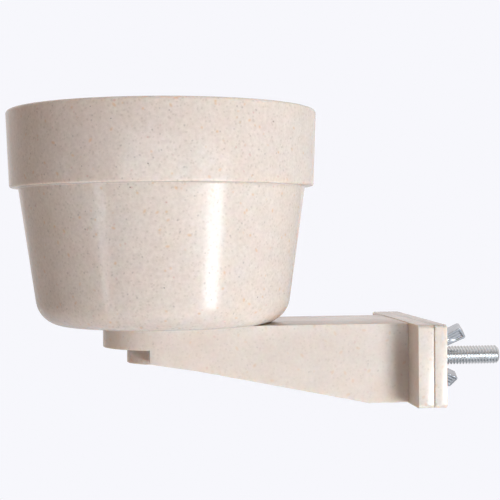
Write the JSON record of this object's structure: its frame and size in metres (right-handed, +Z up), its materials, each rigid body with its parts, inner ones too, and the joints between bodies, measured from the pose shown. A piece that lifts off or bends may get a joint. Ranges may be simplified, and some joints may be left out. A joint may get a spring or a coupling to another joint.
{
  "type": "seed cup",
  "caption": "Round plastic seed cup that twist-locks onto a hollow bracket arm, with a bolt, clamp plate and wing nut to grip cage wires.",
  "frame": {"origin": "middle of the bracket flange's clamping face, on the bolt's axis, where the cage wires are gripped", "axes": "+X along the bolt, from the cup out towards the bolt's tip; +Z up, along the cup's axis; +Y across the arm"},
  "size_m": [0.1554, 0.096, 0.0901],
  "materials": {
    "cup_plastic": "satin beige moulding with fine tan plant-fibre flecks",
    "bracket_plastic": "satin beige moulding with fine tan plant-fibre flecks",
    "zinc_bolt": "bright zinc plating, rolled thread",
    "zinc_nut": "zinc plated casting, slightly dull"
  },
  "bodies": {
    "bracket": {"bracket_arm": "bracket_plastic", "carriage_bolt": "zinc_bolt"},
    "cup": {"seed_cup": "cup_plastic"},
    "jaw": {"clamp_plate": "bracket_plastic"},
    "nut": {"wing_nut": "zinc_nut"}
  },
  "joints": [
    {"name": "cup_twist", "type": "hinge", "parent": "bracket", "child": "cup", "pos_m": [-0.078, 0, 0.012], "axis": [0, 0, 1], "range_deg": [0, 90]},
    {"name": "clamp_slide", "type": "slide", "parent": "bracket", "child": "jaw", "axis": [1, 0, 0], "range_m": [0, 0.018]},
    {"name": "nut_spin", "type": "hinge", "parent": "jaw", "child": "nut", "pos_m": [0.00415, 0, 0], "axis": [1, 0, 0], "range_deg": [0, 6480]}
  ],
  "couplings": [
    {"joint": "clamp_slide", "follows": "nut_spin", "m_per_rad": 0.00015915}
  ]
}
